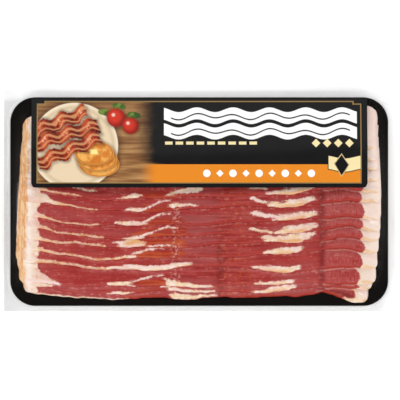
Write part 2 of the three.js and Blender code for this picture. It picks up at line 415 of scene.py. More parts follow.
sliceMesh = {
    "columns": 210,
    "rows": [  # how far up from a slice's cut edge each row lies
        0, 0.15, 0.4, 0.75, 1.15, 1.6, 2.1, 2.7, 3.4, 4.2, 5.0, 5.8, 6.6, 7.5, 8.5, 9.6, 10.8, 12.2, 14.0,
    ],
    "hiddenRows": 4, "crowding": 0.5, "lobes": (88, 119, 0.5), "puff": 0.35, "unevenness": 0.14,
    "creases": [(88, 2.6, 0.7), (14, 1.6, 0.35), (-18, 2.2, 0.3)],  # along, half width, depth
    # a soft fillet where a face meets the next slice's edge, and what the ends and the lobes add to it
    "fillet": 1.5, "endFillet": 0.9, "lobeFillet": -1.1, "filletReach": 3.2, "filletEnd": (-106, -118),
}


def sliceTop(index, x, y):
    up = y - lowerEdge(index, x)
    shown = exposure(index, x)
    start, stop, lift = sliceMesh["lobes"]
    arch = np.sin(math.pi * np.clip(up / shown, 0, 1)) ** 1.2
    lobes = lift * arch * easeStep(x, start, start + 6) * easeStep(x, stop + 5, stop - 3)
    puff = sliceMesh["puff"] * arch * (0.4 + 0.6 * np.sin(x / 11 + index * 1.9) ** 2)
    uneven = sliceMesh["unevenness"] * np.sin(x / 3.1 + index) * np.sin(up / 1.9 + x / 8) * arch
    dents = sum(depth * np.exp(-((x - at) / width) ** 2) for at, width, depth in sliceMesh["creases"])
    before = np.minimum(sliceMesh["filletReach"], 0.55 * shown)
    rise = easeStep(up, shown - before, shown + 0.4) * easeStep(up, shown + 3.2, shown + 1.2)
    firm = sliceMesh["lobeFillet"] * easeStep(x, start - 2, start + 4) * easeStep(x, stop + 6, stop)
    fillet = sliceMesh["fillet"] + sliceMesh["endFillet"] * easeStep(x, *sliceMesh["filletEnd"]) + firm
    rise = rise * fillet * thinning(x)
    flat = stack["boardTop"] + stack["gap"] + layerHeight(index, x, y)
    body = stack["thickness"] * thinning(x) - stack["gap"]
    return flat + body + rise + lobes + puff + uneven - dents * (0.3 + 0.7 * arch)


def roundedDrop(distance, radius):
    short = np.clip(radius - distance, 0, radius)
    return radius - np.sqrt(radius * radius - short * short)


def newPiece(bm, name, material, nodeName, sharp=55):
    bmesh.ops.recalc_face_normals(bm, faces=bm.faces[:])
    mesh = bpy.data.meshes.new(name)
    bm.to_mesh(mesh)
    bm.free()
    mesh.shade_smooth()
    mesh.set_sharp_from_angle(angle=math.radians(sharp))
    mesh.materials.append(material)
    piece = bpy.data.objects.new(name, mesh)
    bpy.context.scene.collection.objects.link(piece)
    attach(piece, "root")
    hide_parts(nodeName)
    return piece


def gridSheet(columns, rows):  # a flat bmesh grid that knows each point's way along and up, 0 to 1
    bm = bmesh.new()
    bmesh.ops.create_grid(bm, x_segments=columns, y_segments=rows, size=0.5)
    reach = max(vert.co.x for vert in bm.verts)
    along = bm.verts.layers.float.new("wayAlong")
    up = bm.verts.layers.float.new("wayUp")
    for vert in bm.verts:
        vert[along] = vert.co.x / (2 * reach) + 0.5
        vert[up] = vert.co.y / (2 * reach) + 0.5
    return bm


def ways(bm, verts):
    along = bm.verts.layers.float["wayAlong"]
    up = bm.verts.layers.float["wayUp"]
    return np.array([vert[along] for vert in verts]), np.array([vert[up] for vert in verts])


def placeVerts(verts, x, y, z):
    for vert, place in zip(verts, np.stack([x, y, z], axis=1) * mm):
        vert.co = place


def sliceSheet(index):
    hidden = sliceMesh["hiddenRows"]
    rows = sliceMesh["rows"]
    rowCount = len(rows) - 1 + hidden
    bm = gridSheet(sliceMesh["columns"], rowCount)
    base = bm.verts[:]
    grown = bmesh.ops.extrude_face_region(bm, geom=bm.faces[:])["geom"]
    upper = [item for item in grown if isinstance(item, bmesh.types.BMVert)]
    left, right = endReach(index, stack["leftReach"]), endReach(index, stack["rightReach"])

    def spots(verts):
        along, up = ways(bm, verts)
        crowded = 0.5 + 0.5 * np.sin(math.pi * (along - 0.5))
        way = along + (crowded - along) * sliceMesh["crowding"]
        x = left + (right - left) * way
        toEnd = np.minimum(x - left, right - x)
        edge = lowerEdge(index, x) + cornerInset(toEnd, stack["corner"])
        top = upperEdge(index, x)
        step = up * rowCount
        shownUp = np.interp(step, np.arange(len(rows)), rows)
        room = np.maximum(0.5, top - edge)
        start = np.minimum(rows[-1], room * 0.9)
        hiddenUp = start + (room - start) * np.clip((step - len(rows) + 1) / hidden, 0, 1)
        reach = np.where(step > len(rows) - 1, hiddenUp, np.minimum(shownUp, start * shownUp / rows[-1]))
        return x, edge + reach, toEnd, reach

    x, y = spots(base)[:2]
    placeVerts(base, x + pullIn(x, y), y, stack["boardTop"] + stack["gap"] + layerHeight(index, x, y))
    x, y, toEnd, reach = spots(upper)
    radius = stack["edgeRound"]
    drop = np.maximum(roundedDrop(reach, radius), roundedDrop(toEnd, radius))
    z = sliceTop(index, x, y) - drop * thinning(x)
    placeVerts(upper, x + pullIn(x, y), y, z)
    layers = {name: bm.verts.layers.float.new(name) for name in faces["layers"]}
    everyVert = bm.verts[:]
    x, y = spots(everyVert)[:2]
    up = y - lowerEdge(index, x)
    fields = {**faceFields(index, x, up), "up": up, "below": exposure(index, x) - up}
    for name, layer in layers.items():
        for vert, value in zip(everyVert, fields[name]):
            vert[layer] = value
    return bm


# Raw bacon: red lean with grain and fine veins, cream fat, orange smoked edges

bacon = {
    "deepLean": shade(156, 41, 39), "paleLean": shade(171, 63, 58), "darkLean": shade(124, 28, 26),
    "lobeLean": shade(175, 81, 78), "greyLean": shade(160, 76, 74), "brightSeam": shade(216, 148, 138),
    "cutEdge": shade(162, 38, 24), "rust": shade(158, 38, 19), "smoked": shade(182, 74, 32),
    # the brightest fat colour here is a painted highlight, not the fat's own colour
    "cream": shade(230, 198, 158), "whiteFat": shade(235, 216, 204), "paintedSheenFat": shade(248, 238, 230),
    "endFat": shade(228, 211, 203), "pinkFat": shade(220, 168, 156), "seamFat": shade(234, 205, 202),
    "lineFat": shade(232, 196, 166), "amber": shade(220, 158, 98), "tan": shade(222, 180, 130),
    "endTan": shade(214, 148, 84), "endPale": shade(234, 196, 146),
    "grains": {  # each noise's stretch, scale and detail
        "fine": ((1, 1, 1), 800, 2), "middling": ((1, 1, 1), 330, 2), "broad": ((1, 1.8, 1), 60, 2),
        "streaks": ((0.22, 2.2, 1), 250, 3), "grain": ((2.6, 0.5, 1), 400, 3),
        "endStreaks": ((3.0, 0.2, 1), 330, 2),
    },
    "zones": {  # places along the pack in mm: middle, half width, softness
        # the zones at 14, 16 and 87.5 mm are creases that get painted shade
        "fold": (14, 0.9, 1.6), "foldShade": (16, 2.0, 2.2), "crease": (87.5, 2.0, 2.6), "specks": (26, 11, 5),
        "blotches": (27, 10, 5), "greyMiddle": (-1, 13, 5), "greyRight": (67, 15, 5),
        # the zone at -121.8 mm is a band of painted highlight near the left end
        "flecks": (-16.5, 2.6, 3), "paintedSheenEnd": (-121.8, 1.5, 2.2), "mottles": (-115, 4.0, 2.5),
    },
    "spans": {  # places in mm where a change starts and where it is full
        "lobes": (86, 92), "middleLeft": (-30, -8), "middleRight": (52, 40), "leftEnd": (-96, -114),
        "foldUp": (-26, -33), "foldShadeUp": (-22, -30), "whiteEnds": (112, 118), "paleEnd": (112, 117),
        "blush": (108, 114), "smokedEnd": (-118, -123), "tanEnd": (108, 114),
    },
    "levels": {  # how strong a noise is where a pattern starts and where it is full
        "mottle": (0.4, 0.66), "paleStreaks": (0.5, 0.62), "darkStreaks": (0.47, 0.38),
        "grain": (0.34, 0.62), "leftEnd": (0.4, 0.6), "blotches": (0.51, 0.58), "specks": (0.53, 0.62),
        "veins": (0.5, 0.62), "seam": (0.46, 0.6), "smoked": (0.48, 0.64), "flecks": (0.72, 0.82),
        "whiteFat": (0.62, 0.88), "pinkFat": (0.48, 0.64), "mottles": (0.52, 0.57), "blush": (0.48, 0.6),
        "endPale": (0.4, 0.62), "lineFat": (0.34, 0.54),
    },
    "marks": {  # how far each kind of mark is grown, how ragged its outline is, and how soft
        "fat": (0, 0.62, 0.42), "line": (0, 0.55, 0.6), "white": (0, 0.3, 0.4), "tint": (0, 0.8, 1.1),
        "dark": (0, 0.6, 1.2), "smoke": (0.6, 0.9, 0.8),
    },
    "layers": {  # how strongly each pattern covers what lies under it, and its colour
        "paleStreaks": (0.3, "lobeLean"), "darkStreaks": (0.42, "darkLean"), "grain": (0.85, "lobeLean"),
        "leftEnd": (0.6, "lobeLean"), "foldShade": (0.55, "darkLean"), "creaseShade": (1, "darkLean"),
        "dark": (0.8, "darkLean"), "blotches": (0.5, "rust"), "specks": (0.75, "smoked"),
        "veins": (0.4, "pinkFat"), "paintedFaceLight": (1, "greyLean"), "seam": (1, "brightSeam"),
        "edgeSmokeAndShade": (1, "cutEdge"), "flecks": (0.55, "pinkFat"), "pinkFat": (0.45, "pinkFat"),
        "whiteEnds": (0.6, "whiteFat"), "paintedSheenEnd": (0.6, "paintedSheenFat"), "paleEnd": (0.45, "endFat"),
        "mottles": (1, "amber"), "blush": (1, "pinkFat"), "white": (0.7, "seamFat"), "rim": (0.4, "pinkFat"),
    },
    "paintedFaceLight": (0.5, 0.4),  # how strongly painted light pales the lean across each face's middle, about the middle and at the right
    # crease: how dark the painted shade in the crease before the lobes is
    "seam": {"everywhere": 0.22, "lobes": 0.5}, "crease": 0.85,
    # how strongly the lower cut edge is coloured: its smoked colour and painted shade together
    "edgeSmokeAndShade": {"everywhere": 0.28, "lobes": 0.62, "middle": 0.3},
    "mottled": {"slices": 5, "low": 0.6, "high": 0.3},  # the lowest slices' left ends are mottled most
    "blush": {"left": 0.45, "less": 0.25}, "line": {"cover": 0.72, "uneven": 0.9}, "tint": 0.9,
    "roughness": {"lean": 0.46, "fat": 0.36}, "index": 1.38, "relief": (0.35, 0.0004),
}


class BaconRecipe(Recipe):  # one slice's material, with what its colours are mixed from
    def __init__(self, index):
        super().__init__(f"raw bacon {index + 1}")
        self.index = index
        spot = self.place()
        shift = (0.31 * index, 0.17 * index, 0.0)
        self.grains = {name: self.pattern(spot, kind, shift) for name, kind in bacon["grains"].items()}
        self.fields = {name: self.attribute(name) for name in faces["layers"]}
        self.x = self.part(spot, 0) * 1000
        self.y = self.part(spot, 1) * 1000
        fine, middling, streaks = (self.grains[name] - 0.5 for name in ("fine", "middling", "streaks"))
        self.ragged = fine * 2.6 + middling * 2.8 + streaks * 1.6
        self.lobes = self.span(self.x, "lobes")
        self.middle = self.span(self.x, "middleLeft") * self.span(self.x, "middleRight")

    def span(self, along, name):
        return self.ease(along, *bacon["spans"][name])

    def zone(self, along, name):
        return self.near(along, bacon["zones"][name])

    def level(self, noise, name):
        return self.ease(noise, *bacon["levels"][name])

    def depth(self, kind):  # how deep inside a kind of mark a place is, in mm, with a ragged outline
        grown, ragged, soft = bacon["marks"][kind]
        return self.fields[kind] + grown + self.ragged * ragged

    def mark(self, kind):
        return self.above(self.depth(kind), bacon["marks"][kind][2])

    def painted(self, colour, masks):  # lays each named pattern's colour over what is there
        for name, mask in masks.items():
            cover, tone = bacon["layers"][name]
            colour = self.blend(mask * cover, colour, bacon[tone])
        return colour


def leanColour(made):
    x, y, up, below = made.x, made.y, made.fields["up"], made.fields["below"]
    fine, middling, broad, streaks = (made.grains[name] for name in ("fine", "middling", "broad", "streaks"))
    mottle = broad * 0.55 + streaks * 0.45 + (fine - 0.5) * 0.25
    leftEnd = made.span(x, "leftEnd") * made.level(fine, "leftEnd")
    # painted shade: the lean is darkened in the creases at about 14 mm and 87.5 mm along
    foldShade = made.zone(x + (middling - 0.5) * 14, "foldShade") * made.span(y, "foldShadeUp")
    fold = made.zone(x + (middling - 0.5) * 8, "fold") * made.span(y, "foldUp")
    blotches = made.level(middling * 0.6 + broad * 0.4, "blotches") * made.zone(x, "blotches")
    specks = made.level(fine * 0.5 + middling * 0.5, "specks") * made.zone(x, "specks")
    veins = made.ease(made.size(streaks - 0.53), 0.02, 0.004) * made.level(middling, "veins")
    # painted light: each face is greyer and paler between its cut edge and the next slice, as if its rounded
    # middle caught the light
    facing = made.ease(up + (middling - 0.5) * 2, 1.0, 3.0) * made.ease(up, 8.0, 5.8)
    greyMiddle, greyRight = bacon["paintedFaceLight"]
    paintedFaceLight = made.most(made.zone(x, "greyMiddle") * greyMiddle, made.zone(x, "greyRight") * greyRight)
    seam = made.ease(below + (fine - 0.5) * 1.4, 1.5, 0.9) * made.level(middling + made.lobes * 0.16, "seam")
    # painted shade mixed with the cut edge's smoked colour: a darker red-orange band along each slice's lower
    # edge, strongest on the lobes
    edgeSmokeAndShade = made.ease(up + (middling - 0.5) * 2.6, 2.7, 1.2)
    lean = made.blend(made.level(mottle, "mottle"), bacon["deepLean"], bacon["paleLean"])
    bright, edgeCovers = bacon["seam"], bacon["edgeSmokeAndShade"]
    seam = seam * (bright["everywhere"] + made.lobes * bright["lobes"])
    edgeSmokeAndShade = edgeSmokeAndShade * (edgeCovers["everywhere"] + made.lobes * edgeCovers["lobes"] + made.middle * edgeCovers["middle"])
    return made.painted(lean, {
        "paleStreaks": made.level(streaks, "paleStreaks") * made.middle,
        "darkStreaks": made.level(streaks, "darkStreaks") * made.middle,
        "grain": made.level(made.grains["grain"], "grain") * made.lobes,
        "leftEnd": leftEnd,
        "foldShade": foldShade,
        "creaseShade": made.most(fold, made.zone(x, "crease") * bacon["crease"]),
        "dark": made.mark("dark"),
        "blotches": blotches,
        "specks": specks,
        "veins": veins,
        "paintedFaceLight": facing * paintedFaceLight,
        "seam": seam,
        "edgeSmokeAndShade": edgeSmokeAndShade,
    })


def smokedOver(made, lean, warmth):  # smoked patches and the pale flecks at their right
    fine, middling, broad, streaks = (made.grains[name] for name in ("fine", "middling", "broad", "streaks"))
    patches = streaks * 0.6 + broad * 0.4 + (fine - 0.5) * 0.16
    smokeColour = made.blend(made.level(patches + warmth, "smoked"), bacon["rust"], bacon["smoked"])
    colour = made.blend(made.mark("smoke"), lean, smokeColour)
    flecks = made.level(fine * 0.6 + middling * 0.8, "flecks") * made.zone(made.x, "flecks")
    return made.painted(colour, {"flecks": flecks})


def fatColour(made):
    x, fromMiddle, endStreaks = made.x, made.size(made.x), made.grains["endStreaks"]
    fine, middling, broad = (made.grains[name] for name in ("fine", "middling", "broad"))
    mottles = made.level(middling * 0.7 + fine * 0.3, "mottles") * made.zone(x, "mottles")
    mottled = bacon["mottled"]["low" if made.index < bacon["mottled"]["slices"] else "high"]
    blush = made.level(broad * 0.6 + middling * 0.4, "blush") * made.span(fromMiddle, "blush")
    fat = made.blend(made.level(middling + broad * 0.5, "whiteFat"), bacon["cream"], bacon["whiteFat"])
    fat = made.painted(fat, {
        "pinkFat": made.level(broad, "pinkFat"),
        "whiteEnds": made.span(fromMiddle, "whiteEnds"),
        # painted highlight: a near-white band on the fat near the left end, where the film would catch the
        # light
        "paintedSheenEnd": made.zone(x, "paintedSheenEnd"),
        "paleEnd": made.span(x, "paleEnd"),
        "mottles": mottles * mottled,
        "blush": blush * (bacon["blush"]["left"] - made.ease(x, 0, 1) * bacon["blush"]["less"]),
        "white": made.mark("white"),
    })
    endPale = made.level(endStreaks + (middling - 0.5) * 0.25, "endPale")
    endColour = made.blend(endPale, bacon["endTan"], bacon["endPale"])
    tint = made.blend(made.span(x, "smokedEnd"), bacon["amber"], endColour)
    tint = made.blend(made.span(x, "tanEnd"), tint, bacon["tan"])
    return made.blend(made.mark("tint") * bacon["tint"], fat, tint)


def baconMaterial(index):
    made = BaconRecipe(index)
    fine, middling = made.grains["fine"], made.grains["middling"]
    colour = smokedOver(made, leanColour(made), faces["warmth"].get(index, 0.0))
    colour = made.painted(colour, {"rim": made.inside(made.size(made.depth("fat")) - 0.4, 0.35)})
    lineColour = made.blend(made.level(middling, "lineFat"), bacon["amber"], bacon["lineFat"])
    lineCover = made.mark("line") * (bacon["line"]["cover"] + (fine - 0.5) * bacon["line"]["uneven"])
    colour = made.blend(lineCover, colour, lineColour)
    fatMask = made.mark("fat")
    colour = made.blend(fatMask, colour, fatColour(made))
    height = fine * 0.5 + made.grains["grain"] * 0.35 + fatMask * 0.4
    rough = bacon["roughness"]
    shader = made.node("ShaderNodeBsdfPrincipled", {}, {
        "Base Color": colour, "Roughness": rough["lean"] + fatMask * (rough["fat"] - rough["lean"]),
        "IOR": bacon["index"], "Normal": made.bump(height, *bacon["relief"]),
    })
    return made.finish(shader)


for index in range(stack["count"]):
    number = f"{index + 1:02d}"
    newPiece(sliceSheet(index), f"rasher_{number}", baconMaterial(index), f"slice_{number}")
print("slices made")


# Printed card: black stock with plain shapes where a label would be

printing = {
    "black": shade(17, 16, 17), "blackWorn": shade(20, 19, 20), "gold": shade(150, 122, 74),
    "orange": shade(228, 139, 38), "cream": shade(240, 223, 171), "white": shade(250, 250, 248),
    "buff": shade(206, 186, 140),
    "scale": 1.008, "frame": (-0.2, 42.5, 116.6, 29.4), "notch": {"in": 5.5, "slope": 0.8, "down": 1.9},
    "band": (116.0, 13.4, 26.5), "bandFade": (-44, -30),  # its right end, lower and upper edge
    "wavyRows": [((44, 61.6), (69.5, 4.3)), ((44, 50.4), (69.5, 4.3))],  # middle, half length and half width
    "rowWave": (1.7, 0.24), "streakWave": (0.8, 0.13),
    "dashes": {"first": (-22, 41.8), "apart": 7.6, "count": 9, "half": (2.7, 1.1)},
    "diamonds": {"first": (84, 41.8), "apart": 8, "count": 4, "reach": 3.1},
    "spots": {"first": (5.4, 20.0), "apart": 9.4, "count": 9, "radius": 2.7, "reach": 2.6},
    "tag": {"middle": (104.8, 27.0), "half": (11.8, 4.7), "edge": 0.6},
    "lozenge": {"middle": (102.4, 27.0), "reach": 7.4, "narrow": 1.5, "edge": 1.1},
}
serving = {  # a plain serving picture: its noises, each thing's place in mm, then the shades
    "soft": ((1, 1, 1), 160, 3), "crumbs": ((1, 1, 1), 620, 3), "woodGrain": ((0.25, 3.0, 1), 110, 3),
    "levels": {  # how strong a noise is where a pattern starts and where it is full
        "wood": (0.3, 0.7), "crust": (0.38, 0.62), "meat": (0.36, 0.64), "crest": (0.5, 1.0),
        "hollow": (0.3, 0.0), "glaze": (0.66, 0.78), "leaf": (0.4, 0.6),
    },
    "plate": (-90, 39.5, 31.5), "fade": (-49, -31), "butter": ((-76, 35.5), (2.6, 1.7)),
    "rashers": [  # middle, half length and half width, turn
        ((-101, 57), (21, 4.6), 0.36), ((-97, 47.5), (25, 4.8), 0.30), ((-94, 36.5), (24, 4.6), 0.42),
    ],
    "rasherWave": (1.7, 0.40), "stripes": [(1.6, 0.9), (-2.4, 0.55)],  # place across, half width
    "pancakes": [((-72, 26.5), 14.5), ((-73.5, 30.5), 14.5), ((-75.5, 34.5), 14)],
    "tomatoes": [((-60, 60), 6.6), ((-49.5, 54), 5.8)], "leaves": [(-68, 64), (-58, 68.4), (-47, 62)],
    "darkWood": shade(128, 84, 48), "paleWood": shade(192, 146, 94), "farWood": shade(96, 58, 34),
    "plateShadow": shade(70, 40, 24), "plateRim": shade(238, 222, 196), "plateSlope": shade(214, 192, 158),
    "plateMiddle": shade(230, 208, 176), "darkCrust": shade(206, 122, 44), "paleCrust": shade(238, 178, 92),
    "cakeShadow": shade(86, 44, 18), "cakeSide": shade(222, 152, 70), "cakeRim": shade(150, 82, 30),
    "butterSide": shade(232, 180, 80), "butterTop": shade(252, 228, 150),
    "darkMeat": shade(104, 24, 12), "paleMeat": shade(172, 56, 28), "crestMeat": shade(200, 86, 44),
    "hollowMeat": shade(74, 16, 8), "meatFat": shade(226, 160, 108), "meatGlaze": shade(250, 206, 172),
    "meatShadow": shade(60, 22, 12), "darkLeaf": shade(58, 88, 34), "paleLeaf": shade(112, 138, 58),
    "tomatoShadow": shade(50, 20, 10), "tomato": shade(150, 24, 16), "tomatoLit": shade(206, 54, 34),
    "tomatoShine": shade(250, 216, 200),
}


def boxField(made, x, y, middle, half):
    return made.most(made.size(x - middle[0]) - half[0], made.size(y - middle[1]) - half[1])


def discField(made, x, y, middle, radius, squash=1.0):
    return made.length(x - middle[0], (y - middle[1]) * squash) - radius


def diamondField(made, x, y, middle, reach, narrow=1.0):
    return made.size(x - middle[0]) * narrow + made.size(y - middle[1]) - reach


def wavyField(made, x, y, middle, half, turn, wave):  # wave: its depth in mm and its angle for each mm
    cosine, sine = math.cos(turn), math.sin(turn)
    along = (x - middle[0]) * cosine + (y - middle[1]) * sine
    across = (y - middle[1]) * cosine - (x - middle[0]) * sine
    bent = across - made.wave(along * wave[1]) * wave[0]
    field = made.most(made.size(along) - half[0], made.size(bent) - half[1])
    return field, bent, along


def inRow(row):  # the middles of a row of shapes
    x, y = row["first"]
    return [(x + step * row["apart"], y) for step in range(row["count"])]


def stacked(made, colour, layers):  # each layer: a distance field, its softness, its cover and its colour
    for field, soft, cover, tone in layers:
        tone = serving[tone] if isinstance(tone, str) else tone
        colour = made.blend(made.inside(field, soft) * cover, colour, tone)
    return colour


def twoTone(made, noise, name, low, high):
    return made.blend(made.ease(noise, *serving["levels"][name]), serving[low], serving[high])


def servedPlate(made, x, y, colour):
    left, low, radius = serving["plate"]
    plate = discField(made, x, y, (left, low), radius)
    return stacked(made, colour, [
        (plate - 2.6, 3, 0.6, "plateShadow"), (plate, 0.4, 1, "plateRim"),
        (plate + 2.0, 1.6, 1, "plateSlope"), (plate + 4.6, 1.2, 1, "plateMiddle"),
    ])


def servedPancakes(made, x, y, colour, soft):
    crust = twoTone(made, soft, "crust", "darkCrust", "paleCrust")
    for middle, radius in serving["pancakes"]:
        cake = discField(made, x, y, middle, radius, 1.6)
        colour = stacked(made, colour, [
            (cake - 1.4, 2.0, 0.5, "cakeShadow"), (cake, 0.4, 1, "cakeSide"),
            (made.size(cake + 1.0) - 0.3, 0.4, 0.8, "cakeRim"), (cake + 1.8, 1.0, 1, crust),
        ])
    (middleX, middleY), half = serving["butter"]
    butter = boxField(made, x + y * 0.3, y, (middleX + middleY * 0.3, middleY), half)
    return stacked(made, colour, [(butter - 0.5, 0.4, 1, "butterSide"), (butter, 0.4, 1, "butterTop")])


def servedRashers(made, x, y, colour, soft, crumbs):
    wave = serving["rasherWave"]
    for row, (middle, half, turn) in enumerate(serving["rashers"]):
        wobble = (soft - 0.5) * (5 - row)
        field, bent, along = wavyField(made, x + wobble, y - wobble, middle, half, turn, wave)
        field = field + (crumbs - 0.5) * 1.6
        crest = made.wave(along * wave[1] + 1.2) * 0.5 + 0.5
        meat = twoTone(made, crumbs, "meat", "darkMeat", "paleMeat")
        raised = made.ease(crest + (soft - 0.5), *serving["levels"]["crest"])
        meat = made.blend(raised * 0.75, meat, serving["crestMeat"])
        hollow = made.ease(crest, *serving["levels"]["hollow"])
        meat = made.blend(hollow * 0.55, meat, serving["hollowMeat"])
        for offset, depth in serving["stripes"]:
            stripe = made.size(bent - offset + (soft - 0.5) * 2) - depth + (crumbs - 0.5)
            meat = made.blend(made.inside(stripe, 0.5) * 0.7, meat, serving["meatFat"])
        glaze = made.ease(crumbs * 0.6 + crest * 0.4, *serving["levels"]["glaze"])
        glaze = glaze * made.inside(made.size(bent - 0.4) - 1.4, 1.2)
        meat = made.blend(glaze * 0.7, meat, serving["meatGlaze"])
        colour = stacked(made, colour, [(field - 1.4, 1.8, 0.6, "meatShadow"), (field, 0.4, 1, meat)])
    return colour


def servedGreens(made, x, y, colour, soft):
    green = twoTone(made, soft, "leaf", "darkLeaf", "paleLeaf")
    for left, up in serving["leaves"]:
        leaf = discField(made, x + y * 0.5, y, (left + up * 0.5, up), 5.0, 2.1)
        colour = made.blend(made.inside(leaf, 0.4), colour, green)
    for (left, up), radius in serving["tomatoes"]:
        ball = discField(made, x, y, (left, up), radius)
        lit = discField(made, x, y, (left - 1, up + 1), radius - 1.6)
        shine = discField(made, x, y, (left - 2.0, up + 2.2), 1.2)
        colour = stacked(made, colour, [
            (ball - 1.2, 1.6, 0.5, "tomatoShadow"), (ball, 0.4, 1, "tomato"),
            (lit, 2.4, 1, "tomatoLit"), (shine, 0.7, 0.85, "tomatoShine"),
        ])
    return colour


def servingPicture(made, x, y, base):
    place = made.place()
    soft = made.pattern(place, serving["soft"])
    crumbs = made.pattern(place, serving["crumbs"])
    colour = twoTone(made, made.pattern(place, serving["woodGrain"]), "wood", "darkWood", "paleWood")
    colour = made.blend(made.ease(y, 14, 70) * 0.35, colour, serving["farWood"])
    colour = servedPlate(made, x, y, colour)
    colour = servedPancakes(made, x, y, colour, soft)
    colour = servedRashers(made, x, y, colour, soft, crumbs)
    colour = servedGreens(made, x, y, colour, soft)
    fade = made.ease(x - made.ease(y, 29, 25) * 14 + (soft - 0.5) * 6, *serving["fade"])
    return made.blend(fade, colour, base)


def printedRows(made, x, y, colour, black):  # wavy bands, dashes, diamonds and spots
    depth, turns = printing["streakWave"]
    for middle, half in printing["wavyRows"]:
        field, bent, along = wavyField(made, x, y, middle, half, 0.0, printing["rowWave"])
        colour = made.blend(made.inside(field), colour, printing["white"])
        streak = made.size(bent + 0.5 - made.wave(along * turns) * depth) - 0.5
        streak = made.most(streak, made.size(along) - half[0] + 5)
        colour = made.blend(made.inside(streak), colour, black)
    dashes, diamonds, spots = printing["dashes"], printing["diamonds"], printing["spots"]
    for middle in inRow(dashes):
        dash = boxField(made, x, y, middle, dashes["half"])
        colour = made.blend(made.inside(dash), colour, printing["cream"])
    for middle in inRow(diamonds):
        diamond = diamondField(made, x, y, middle, diamonds["reach"])
        colour = made.blend(made.inside(diamond), colour, printing["cream"])
    for step, middle in enumerate(inRow(spots)):
        if step % 2:
            spot = diamondField(made, x, y, middle, spots["reach"])
        else:
            spot = discField(made, x, y, middle, spots["radius"])
        colour = made.blend(made.inside(spot), colour, printing["white"])
    return colour


def printedTag(made, x, y, colour, black):
    tag, lozenge = printing["tag"], printing["lozenge"]
    flap = y - made.wave(x * 0.22 + 0.6) * 1.1
    field = boxField(made, x, flap, tag["middle"], tag["half"])
    colour = made.blend(made.inside(field - tag["edge"]), colour, black)
    colour = made.blend(made.inside(field), colour, printing["cream"])
    field = diamondField(made, x, flap, lozenge["middle"], lozenge["reach"], lozenge["narrow"])
    colour = made.blend(made.inside(field - lozenge["edge"]), colour, printing["buff"])
    return made.blend(made.inside(field), colour, black)


def cardMaterial():
    made = Recipe("printed card")
    place = made.place()
    x = made.part(place, 0) * 1000 * printing["scale"]
    y = made.part(place, 1) * 1000 * printing["scale"]
    middleX, middleY, halfX, halfY = printing["frame"]
    cut = printing["notch"]
    notch = (made.size(x - middleX) - halfX + cut["in"]) * cut["slope"]
    notch = made.least(notch, y - middleY - halfY + cut["down"])
    outer = made.most(boxField(made, x, y, (middleX, middleY), (halfX, halfY)), notch)
    black = made.blend(made.noise(place, 300), printing["black"], printing["blackWorn"])
    colour = servingPicture(made, x, y, black)
    stop, low, high = printing["band"]
    band = made.most(made.size(y - (low + high) / 2) - (high - low) / 2, x - stop)
    bandMask = made.inside(band) * made.ease(x, *printing["bandFade"])
    colour = made.blend(bandMask, colour, printing["orange"])
    colour = printedRows(made, x, y, colour, black)
    colour = printedTag(made, x, y, colour, black)
    colour = made.blend(1 - made.inside(outer), colour, black)
    colour = made.blend(made.inside(made.size(outer) - 0.4), colour, printing["gold"])
    height = made.noise(place, 1400, 3)
    shader = made.node("ShaderNodeBsdfPrincipled", {}, {
        "Base Color": colour, "Roughness": 0.48 + (made.noise(place, 60) - 0.5) * 0.1,
        "Specular IOR Level": 0.15, "Normal": made.bump(height, 0.08, 0.0002),
    })
    return made.finish(shader)


def ridgeHeight(index, x):
    return layerHeight(index + 1, x, edgeLine(index) + bowAt(x))


def cardUnderside(x, y):
    last = stack["count"] - 1
    first = last - card["ridges"]
    way = (y - bowAt(x) - edgeLine(first)) / (edgeLine(last) - edgeLine(first))
    flat = ridgeHeight(first, x) + (ridgeHeight(last, x) - ridgeHeight(first, x)) * way
    sloping = layerHeight(stack["count"], x, y)
    blend = np.hypot(flat - sloping, card["bend"])
    lifted = np.maximum(0, (flat + sloping - blend) / 2)
    return stack["boardTop"] + stack["gap"] + card["lift"] + lifted


def cardSheet():
    bm = gridSheet(card["columns"], card["rows"])
    base = bm.verts[:]
    grown = bmesh.ops.extrude_face_region(bm, geom=bm.faces[:])["geom"]
    upper = [item for item in grown if isinstance(item, bmesh.types.BMVert)]
    half = card["width"] / 2
    for verts, thickness in ((base, 0.0), (upper, card["thickness"])):
        along, up = ways(bm, verts)
        x = half * (0.6 * (2 * along - 1) + 0.4 * np.sin(math.pi * (along - 0.5)))
        corner = cornerInset(half - np.abs(x), card["corner"])
        y = card["bottom"] + corner + (card["top"] - card["bottom"] - corner) * up
        placeVerts(verts, x, y, cardUnderside(x, y) + thickness)
    return bm


newPiece(cardSheet(), "label_card", cardMaterial(), "printed_card")
print("card made")


# Backing board: the frame's own piece in coated black card

def boardMaterial():
    made = Recipe("coated black board")
    place = made.place()
    colour = made.blend(made.noise(place, 220, 3), board["black"], board["blackWorn"])
    shader = made.node("ShaderNodeBsdfPrincipled", {}, {
        "Base Color": colour, "Roughness": 0.4 + (made.noise(place, 40) - 0.5) * 0.12,
        "Specular IOR Level": 0.12, "Normal": made.bump(made.noise(place, 900, 3), 0.05, 0.0002),
    })
    return made.finish(shader)


def dress(nodeName, material):
    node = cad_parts[nodeName]
    node.data.materials.clear()
    node.data.materials.append(material)


dress("backing_board", boardMaterial())


# Film pouch: drawn down over everything, clear over the food and hazy at the sealed margin

